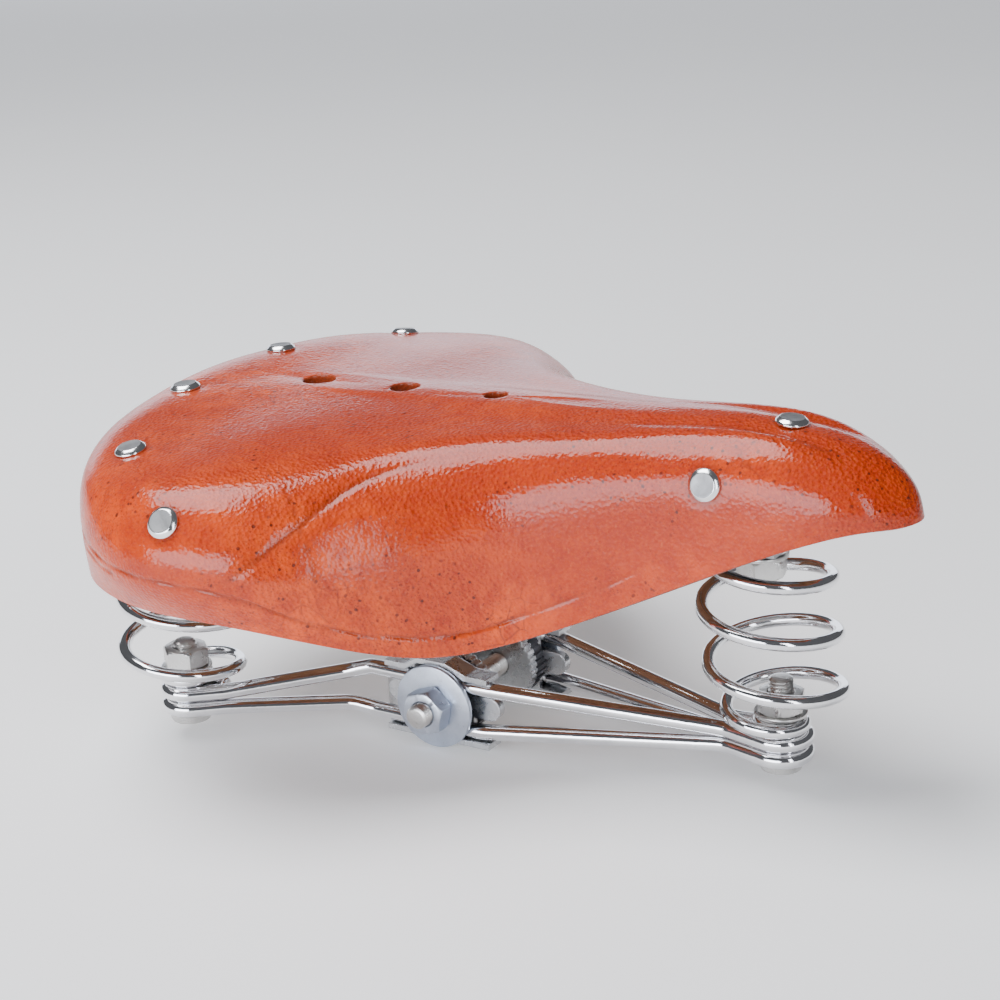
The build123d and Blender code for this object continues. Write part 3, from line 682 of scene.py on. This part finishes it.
def leather_material():
    """Waxed tan leather: mottled, with pores, cracks and grain under a clear varnish, and painted shade
    darkening its narrow pressed lines.
    """
    n = Nodes("saddle_leather")
    broad = n.noise(14, 4, 0.55)
    mottle = n.noise(140, 5, 0.6)
    fine = n.noise(900, 4, 0.6)
    colour = n.mix(n.ramp(broad, 0.38, 0.62), (0.38, 0.026, 0.001), (0.68, 0.070, 0.003))
    colour = n.mix(n.ramp(mottle, 0.35, 0.7), colour, (0.37, 0.022, 0.001))
    colour = n.mix(n.ramp(fine, 0.45, 0.75, 0.0, 0.35), colour, (0.66, 0.09, 0.006))
    # fine pale hairs, and dark pores in patches
    hairs = n.noise(260, 3, 0.7, stretch=(1.0, 6.0, 1.0, 0.4, 0.3, 0.9), warp=0.5)
    colour = n.mix(n.ramp(hairs, 0.62, 0.72, 0.0, 0.3), colour, (0.62, 0.13, 0.03))
    patches = n.ramp(n.noise(34, 3, 0.6), 0.48, 0.60)
    pores = n.ramp(n.cells(310, "F1", 0.002), 0.13, 0.21, 1.0, 0.0)
    pin_pricks = n.ramp(n.cells(900, "F1", 0.001), 0.20, 0.30, 1.0, 0.0)
    pores = n.maths("MULTIPLY", n.maths("MAXIMUM", pores, n.maths("MULTIPLY", pin_pricks, 0.5)), patches)
    colour = n.mix(n.maths("MULTIPLY", pores, 0.85), colour, (0.05, 0.008, 0.004))
    cracks = n.ramp(n.cells(150, "DISTANCE_TO_EDGE", 0.004), 0.0, 0.05, 1.0, 0.0)
    cracks = n.maths("MULTIPLY", cracks, n.ramp(n.noise(28, 3, 0.6), 0.52, 0.66))
    colour = n.mix(n.maths("MULTIPLY", cracks, 0.6), colour, (0.14, 0.018, 0.006))
    # painted shade: the leather's colour is darkened along the narrow pressed lines, and in a dark ring round
    # each rivet head
    colour = n.mix(n.maths("MULTIPLY", n.attribute("painted_shade_and_rings"), 0.6), colour, (0.16, 0.02, 0.006))
    edge = n.attribute("edge")
    colour = n.mix(n.maths("MULTIPLY", edge, 0.65), colour, (0.20, 0.045, 0.018))
    rough = n.ramp(n.noise(60, 4, 0.6), 0.3, 0.7, 0.42, 0.58)
    rough = n.maths("ADD", rough, n.maths("MULTIPLY", edge, 0.25))
    normal = n.bump(n.cells(800, "F1", 0.0006), 0.0006, 0.8)
    normal = n.bump(n.noise(520, 5, 0.65), 0.0005, 0.5, normal)
    normal = n.bump(n.noise(60, 3, 0.5), 0.0010, 0.35, normal)
    wrinkle = n.noise(150, 4, 0.6, stretch=(0.5, 1.0, 3.2), warp=0.6)
    normal = n.bump(wrinkle, 0.0006, 0.35, normal)
    varnish = n.bump(n.cells(800, "F1", 0.0006), 0.0002, 0.3)
    varnish = n.bump(n.noise(420, 4, 0.6), 0.0003, 0.3, varnish)
    n.link(varnish, n.shader.inputs["Coat Normal"])
    return n.finish(
        colour, rough, normal, Coat_Weight=0.6, Coat_Roughness=0.06, Coat_IOR=1.5, Specular_IOR_Level=0.12
    )


def flesh_material():
    """The rough brown underside of the leather."""
    n = Nodes("leather_underside")
    colour = n.mix(n.ramp(n.noise(60, 5, 0.7), 0.3, 0.7), (0.20, 0.085, 0.040), (0.33, 0.15, 0.075))
    colour = n.mix(n.ramp(n.noise(900, 3, 0.6), 0.4, 0.7, 0, 0.5), colour, (0.42, 0.22, 0.12))
    normal = n.bump(n.noise(1400, 4, 0.7), 0.0005, 0.7)
    return n.finish(colour, 0.85, normal)


def metal_material(name, base, dark, rough_low, rough_high, grain=700, dent=0.0001, round_off=0.0, spots=0.0):
    """Metal with stains, uneven gloss and small dents; spots darkens specks of it."""
    n = Nodes(name)
    stain = n.ramp(n.noise(90, 5, 0.65), 0.35, 0.75)
    colour = n.mix(stain, base, dark)
    if spots:
        colour = n.mix(n.ramp(n.noise(700, 3, 0.6), 0.66, 0.74, 0, spots), colour, (0.10, 0.08, 0.07))
    rough = n.ramp(n.noise(240, 5, 0.7), 0.3, 0.7, rough_low, rough_high)
    below = n.bevel(round_off) if round_off else None
    normal = n.bump(n.noise(grain, 4, 0.6), dent, 0.35, below)
    return n.finish(colour, rough, normal, Metallic=1.0)


leather = leather_material()
flesh = flesh_material()
chrome = metal_material(
    "chromed_wire", (0.86, 0.86, 0.87), (0.72, 0.72, 0.74), 0.05, 0.12, 500, 0.00012, 0, 0.15
)
nickel = metal_material(
    "nickelled_steel", (0.66, 0.65, 0.63), (0.50, 0.49, 0.47), 0.22, 0.4, 900, 0.0002, 0, 0.4
)
zinc = metal_material(
    "zinc_plate", (0.60, 0.65, 0.74), (0.46, 0.50, 0.58), 0.25, 0.42, 800, 0.0002, 0.0004, 0.3
)
dull = metal_material(
    "rivet_face", (0.36, 0.36, 0.36), (0.24, 0.24, 0.25), 0.4, 0.6, 900, 0.0003, 0, 0.5
)
bright = metal_material(
    "rivet_rim", (0.88, 0.88, 0.88), (0.75, 0.75, 0.76), 0.12, 0.22, 700, 0.0001
)
pressed_steel = metal_material(
    "pressed_steel", (0.70, 0.71, 0.72), (0.55, 0.56, 0.58), 0.2, 0.36, 600, 0.0002, 0.0006, 0.2
)
# the toothed discs: a dark gunmetal finish, made darker still as painted shade for the shadow they sit in
gunmetal_with_painted_shade = metal_material(
    "gunmetal_with_painted_shade", (0.10, 0.10, 0.11), (0.05, 0.05, 0.055), 0.3, 0.5, 900, 0.0003, 0.0004
)
plate_steel = metal_material(
    "plate_steel", (0.33, 0.33, 0.34), (0.2, 0.2, 0.21), 0.3, 0.5, 700, 0.0002, 0.0005, 0.4
)

# --- the leather piece --------------------------------------------------------------------
points, faces, edge, painted_shade_and_ring_values, inside = build_leather()
paint = [1 if all(inside[v] for v in face) else 0 for face in faces]
looks = [leather, flesh]
cover = make_piece("leather_cover", points, faces, looks, "seat", ["leather_top"], paint)
# the painted shade of the pressed lines, with the rivet rings, goes to the material as an attribute
for name, values in (("edge", edge), ("painted_shade_and_rings", painted_shade_and_ring_values)):
    cover.data.attributes.new(name, "FLOAT", "POINT").data.foreach_set("value", values.astype(np.float32))


# --- rivets -------------------------------------------------------------------------------
RIVET_SIDES = 48
FACE_BANDS = 3  # the bands nearest to the middle of the head, which are dull


def rivet(seat):
    """A head with a flat top and a bright bevel, its shank, and the clinched tail."""
    centre, normal = seat
    tail = -(LEATHER_T + PLATE_DEPTH + PLATE_T) - 1.0
    rings = [(tail - 1.0, 0.3), (tail - 1.0, 2.6), (tail - 0.6, 3.5), (tail - 0.1, 3.5), (tail, 2.4)]
    rings += [(-0.25, 2.5), (-0.25, 5.1), (0.0, 5.2), (0.35, 5.15), (0.75, 4.85), (1.5, 3.95)]
    rings += [(1.58, 3.75), (1.55, 3.3), (1.45, 2.4), (1.42, 0.3)]
    return turned(centre, normal, rings, RIVET_SIDES)


def rivet_paint(count):
    """For each of a rivet's faces, 0 on the dull face of its head and 1 elsewhere."""
    bands = count // RIVET_SIDES
    dull_start, dull_end = (bands - FACE_BANDS) * RIVET_SIDES, bands * RIVET_SIDES
    return [0 if dull_start <= k < dull_end or k == count - 1 else 1 for k in range(count)]


for name, node, places in (
    ("rear_rivet_heads", "rear_rivets", rear_seats),
    ("nose_rivet_heads", "nose_rivets", nose_seats),
):
    made = [rivet(seat) for seat in places]
    points, faces = joined(made)
    paint = rivet_paint(len(made[0][1])) * len(made)
    make_piece(name, points, faces, [dull, bright], "seat", [node], paint)


# --- springs ------------------------------------------------------------------------------
SPRING_MID_TURN, EYE_TURNS, RISE_TURNS = 1.5, 2.7, 1.95
WIND_IN_END, WIND_IN_TURNS = 2.05, 0.9
SPRING_STEPS, SPRING_SIDES = 420, 22


def spring_point(foot, turn):
    """A left-handed coil with wide turns that wind in to an eye at each end."""
    x, y, lean, start = foot
    away = turn - SPRING_MID_TURN
    part = max(-1.0, min(1.0, away / RISE_TURNS))
    rise = 1.25 * part - 0.25 * part**5
    z = (SPRING_FOOT_Z + SPRING_TOP_Z) / 2 + rise * (SPRING_TOP_Z - SPRING_FOOT_Z) / 2
    blend = max(0.0, min(1.0, (WIND_IN_END - abs(away)) / WIND_IN_TURNS))
    radius = EYE_R + (SPRING_R - EYE_R) * (3 * blend**2 - 2 * blend**3)
    angle = math.radians(start - 360 * turn)
    shift = lean * (z - SPRING_FOOT_Z) / (SPRING_TOP_Z - SPRING_FOOT_Z)
    return (x + shift + radius * math.cos(angle), y + radius * math.sin(angle), z)


for node, foot in SPRING_FEET.items():
    first = SPRING_MID_TURN - EYE_TURNS
    path = [spring_point(foot, first + 2 * EYE_TURNS * i / SPRING_STEPS) for i in range(SPRING_STEPS + 1)]
    points, faces = tube(path, SPRING_WIRE_R, SPRING_SIDES)
    coil = make_piece(node + "_coil", points, faces, [chrome], None, [node])
    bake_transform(coil)


# --- frame wires --------------------------------------------------------------------------
FRONT_CORNER_X, REAR_CORNER_X = 36.5, -6.0
REAR_BEND_X, REAR_BEND_Y = -14.0, 26.3
PINCH_X, PINCH_Y = 115.2, 4.1
EYE_RUN, EYE_TAIL = 12.0, 11.0
BEND_RADII = (25, 14, 9, 18, 14)
PATH_STEP = 0.8
UPPER_BEND_Z, LOWER_BEND_Z = 15.0, 3.2
WIRE_SIDES = 24


def line_to(start, end):
    """Points of a straight run, without its end."""
    count = max(1, int(np.linalg.norm(end - start) / PATH_STEP))
    return [start + (end - start) * i / count for i in range(count)]


def filleted(route, radii):
    """A route of straight runs with an arc at each inner corner."""
    route = [np.array(p, float) for p in route]
    path, here = [], route[0]
    for before, corner, after, radius in zip(route, route[1:], route[2:], radii):
        a = (before - corner) / np.linalg.norm(before - corner)
        b = (after - corner) / np.linalg.norm(after - corner)
        bend = math.acos(max(-1.0, min(1.0, a @ b)))
        reach = radius / math.tan(bend / 2)
        middle = (a + b) / np.linalg.norm(a + b)
        centre = corner + middle * radius / math.sin(bend / 2)
        start, end = corner + a * reach, corner + b * reach
        path += line_to(here, start)
        sweep = math.pi - bend
        count = max(3, int(radius * sweep / PATH_STEP))
        first, last = start - centre, end - centre
        for i in range(count):
            t = sweep * i / count
            path.append(centre + (first * math.sin(sweep - t) + last * math.sin(t)) / math.sin(sweep))
        here = end
    return path + line_to(here, route[-1]) + [route[-1]]


def arc(centre, radius, first, last):
    """Points of a level arc between two angles in degrees, without its end."""
    count = max(3, int(abs(math.radians(last - first)) * radius / PATH_STEP))
    angles = [math.radians(first + (last - first) * i / count) for i in range(count)]
    return [centre + radius * np.array([math.cos(t), math.sin(t), 0]) for t in angles]


def wire_path(eye_z, rail_z, bend_z):
    """The whole wire, from the tail at one rear eye, round the front, to the other tail."""
    eye = np.array([REAR_BOLT_X, -REAR_BOLT_Y, eye_z])
    away = np.array([REAR_BEND_X - REAR_BOLT_X, REAR_BOLT_Y - REAR_BEND_Y])
    heading = math.atan2(away[1], away[0]) + math.asin(EYE_R / np.linalg.norm(away))
    leave = eye + np.array([math.sin(heading), -math.cos(heading), 0]) * EYE_R
    run = leave + np.array([math.cos(heading), math.sin(heading), 0]) * EYE_RUN
    back = np.array([PINCH_X - FRONT_BOLT_X, -PINCH_Y])
    touch = math.atan2(back[1], back[0]) + math.acos(FRONT_LOOP_R / np.linalg.norm(back))
    loop = np.array([FRONT_BOLT_X, 0, eye_z])
    join = loop + np.array([math.cos(touch), math.sin(touch), 0]) * FRONT_LOOP_R
    tail = eye + np.array([EYE_TAIL, EYE_R, 0])
    path = line_to(tail, eye + np.array([0, EYE_R, 0]))
    path += arc(eye, EYE_R, 90, math.degrees(heading) + 270)
    path += filleted(
        [
            leave,
            run,
            (REAR_BEND_X, -REAR_BEND_Y, bend_z),
            (REAR_CORNER_X, -RAIL_Y, rail_z),
            (FRONT_CORNER_X, -RAIL_Y, rail_z),
            (PINCH_X, -PINCH_Y, eye_z),
            join,
        ],
        BEND_RADII,
    )[:-1]
    path += arc(loop, FRONT_LOOP_R, math.degrees(touch) % 360, 360)
    path.append(loop + np.array([FRONT_LOOP_R, 0, 0]))
    mirrored = [p * np.array([1, -1, 1]) for p in path[:-1]]
    return path + mirrored[::-1]


for node, shape in (
    ("upper_wire", (UPPER_EYE_Z, CLAMP_Z + RAIL_RISE, UPPER_BEND_Z)),
    ("lower_wire", (LOWER_EYE_Z, CLAMP_Z - RAIL_RISE, LOWER_BEND_Z)),
):
    points, faces = tube(wire_path(*shape), WIRE_R, WIRE_SIDES)
    make_piece(node + "_bar", points, faces, [chrome], "undercarriage", [node])

# --- fasteners ----------------------------------------------------------------------------
LOWER_BOLT_LENGTHS = (31.0, 28.5, 28.5)
UP, DOWN = (0, 0, 1), (0, 0, -1)


def lower_bolt(number):
    """The bolt up through the wires' eyes and the foot of a spring."""
    x, y = LOWER_BOLTS[number]
    return joined([bolt_head((x, y, 0), UP), threaded((x, y, 0), UP, HEAD_T, LOWER_BOLT_LENGTHS[number])])


def upper_bolt(number):
    """The bolt down through a plate and the top of a spring."""
    x, y = UPPER_BOLTS[number]
    place = (x, y, UPPER_HEAD_Z)
    return joined([bolt_head(place, DOWN), threaded(place, DOWN, HEAD_T, UPPER_HEAD_Z - UPPER_BOLT_END_Z)])


def lower_nut(number):
    """The nut of a lower bolt; each is turned a little differently."""
    return nut((*LOWER_BOLTS[number], LOWER_NUT_Z), UP, 0.35 + 0.5 * number)


def upper_nut(number):
    """The nut of an upper bolt; each is turned a little differently."""
    return nut((*UPPER_BOLTS[number], UPPER_NUT_Z), UP, 0.2 + 0.4 * number)


for name, make, numbers, body, material_slot in (
    ("front_lower_bolt", lower_bolt, (0,), "undercarriage", "bolt"),
    ("rear_lower_bolts", lower_bolt, (1, 2), "undercarriage", "bolt"),
    ("front_upper_bolt", upper_bolt, (0,), "seat", "bolt"),
    ("rear_upper_bolts", upper_bolt, (1, 2), "seat", "bolt"),
    ("front_lower_nut", lower_nut, (0,), "undercarriage", "nut"),
    ("rear_lower_nuts", lower_nut, (1, 2), "undercarriage", "nut"),
    ("front_upper_nut", upper_nut, (0,), "seat", "nut"),
    ("rear_upper_nuts", upper_nut, (1, 2), "seat", "nut"),
):
    points, faces = joined([make(number) for number in numbers])
    make_piece(name + "_detail", points, faces, [nickel], body, [name])

for name, spots, z, body in (
    ("lower_washers", LOWER_BOLTS, LOWER_WASHER_Z, "undercarriage"),
    ("upper_washers", UPPER_BOLTS, UPPER_WASHER_Z, "seat"),
):
    made = [flat_ring((x, y, z), UP, WASHER_R, BOLT_R + BORE_GAP, WASHER_T) for x, y in spots]
    points, faces = joined(made)
    make_piece(name + "_detail", points, faces, [nickel], body, [name])

STUD_HALF = 20.0
made = []
for side in (-1, 1):
    place = (CLAMP_X, side * STUD_HALF, CLAMP_Z)
    made.append(threaded(place, (0, side, 0), -STUD_HALF, STUD_END - STUD_HALF))
points, faces = joined(made)
make_piece("clamp_stud_detail", points, faces, [nickel], "clamp", ["clamp_stud"])
nut_y = CLAMP_WASHER_IN + CLAMP_WASHER_T + GAP
made = [nut((CLAMP_X, side * nut_y, CLAMP_Z), (0, side, 0), 0.3) for side in (-1, 1)]
points, faces = joined(made)
make_piece("clamp_nuts_detail", points, faces, [zinc], "clamp", ["clamp_nuts"])
for name, side in (("clamp_washer_right", -1), ("clamp_washer_left", 1)):
    place = (CLAMP_X, side * CLAMP_WASHER_IN, CLAMP_Z)
    points, faces = flat_ring(place, (0, side, 0), CLAMP_WASHER_R, BOLT_R + BORE_GAP, CLAMP_WASHER_T, 0.45)
    make_piece(name + "_detail", points, faces, [zinc], "clamp", [name])

# --- CAD pieces that show as they are -----------------------------------------------------
for node, material, material_slot in (
    ("cheek_right", pressed_steel, "clamp"),
    ("cheek_left", pressed_steel, "clamp"),
    ("post_collar", pressed_steel, "clamp"),
    # the toothed discs' near-black colour is partly gunmetal and partly painted shade
    ("toothed_disc_right", gunmetal_with_painted_shade, "dark"),
    ("toothed_disc_left", gunmetal_with_painted_shade, "dark"),
    ("cantle_plate", plate_steel, "plate"),
    ("nose_plate", plate_steel, "plate"),
):
    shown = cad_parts[node]
    shown.data.materials.clear()
    shown.data.materials.append(material)

# --- floor, light and camera --------------------------------------------------------------
def floor_material():
    """A pale floor that glows a little, so that it stays light."""
    n = Nodes("pale_floor")
    colour = n.mix(n.ramp(n.noise(3, 3, 0.5), 0.3, 0.7), (0.90, 0.90, 0.90), (0.93, 0.93, 0.93))
    n.shader.inputs["Emission Color"].default_value = (1.0, 1.0, 1.0, 1.0)
    normal = n.bump(n.noise(300, 3, 0.5), 0.0001, 0.2)
    return n.finish(colour, 0.7, normal, Emission_Strength=0.22)


FLOOR_HALF = 9000.0
FLOOR_GAP = 0.6
floor_z = cad_box[0].z / MM - FLOOR_GAP
corners = [(x * FLOOR_HALF, y * FLOOR_HALF, floor_z) for x, y in ((-1, -1), (1, -1), (1, 1), (-1, 1))]
floor = make_piece("floor", corners, [(0, 1, 2, 3)], [floor_material()])


def area_light(name, place, target, width, height, power, colour):
    """A soft rectangular light aimed at a target; places in metres."""
    data = bpy.data.lights.new(name, "AREA")
    data.shape = "RECTANGLE"
    data.size, data.size_y = width, height
    data.energy = power
    data.color = colour
    lamp = bpy.data.objects.new(name, data)
    lamp.location = place
    lamp.rotation_mode = "QUATERNION"
    lamp.rotation_quaternion = (Vector(target) - Vector(place)).to_track_quat("-Z", "Y")
    bpy.context.scene.collection.objects.link(lamp)


MIDDLE = (0.03, 0, 0.07)
area_light("overhead", (-0.45, -0.2, 1.4), MIDDLE, 1.0, 1.0, 34, (0.96, 0.97, 1.0))
area_light("front_wall", (0.0, -1.5, 0.34), MIDDLE, 1.5, 0.60, 27, (0.88, 0.92, 1.0))
area_light("right_strip", (1.15, -0.61, 0.42), MIDDLE, 0.20, 1.0, 5, (0.90, 0.93, 1.0))
area_light("back_wall", (-1.9, 2.6, 0.45), MIDDLE, 4.4, 0.95, 34, (0.84, 0.89, 1.0))

world = bpy.data.worlds.new("studio")
world.use_nodes = True
backdrop = world.node_tree.nodes["Background"]
backdrop.inputs["Color"].default_value = (0.92, 0.94, 1.0, 1.0)
backdrop.inputs["Strength"].default_value = 0.12
bpy.context.scene.world = world

CAMERA_AZIMUTH, CAMERA_ELEVATION, CAMERA_ROLL = 32.996, 19.082, -2.625
CAMERA_DISTANCE = 0.75274
CAMERA_TARGET = Vector((0.03204, 0.0, 0.0742))
CAMERA_LENS = 82.65
camera_data = bpy.data.cameras.new("camera")
camera_data.lens = CAMERA_LENS
camera_data.sensor_width = 36.0
camera_data.clip_start = 0.01
camera_data.clip_end = 50
camera = bpy.data.objects.new("camera", camera_data)
bpy.context.scene.collection.objects.link(camera)
azimuth, elevation = math.radians(CAMERA_AZIMUTH), math.radians(CAMERA_ELEVATION)
roll = math.radians(CAMERA_ROLL)
level = math.cos(elevation)
back = Vector((math.sin(azimuth) * level, -math.cos(azimuth) * level, math.sin(elevation)))
right = Vector((math.cos(azimuth), math.sin(azimuth), 0))
above = back.cross(right)
camera_x = right * math.cos(roll) + above * math.sin(roll)
camera_y = above * math.cos(roll) - right * math.sin(roll)
camera.matrix_world = Matrix.Translation(CAMERA_TARGET + back * CAMERA_DISTANCE) @ Matrix(
    (
        (camera_x.x, camera_y.x, back.x),
        (camera_x.y, camera_y.y, back.y),
        (camera_x.z, camera_y.z, back.z),
    )
).to_4x4()
bpy.context.scene.camera = camera
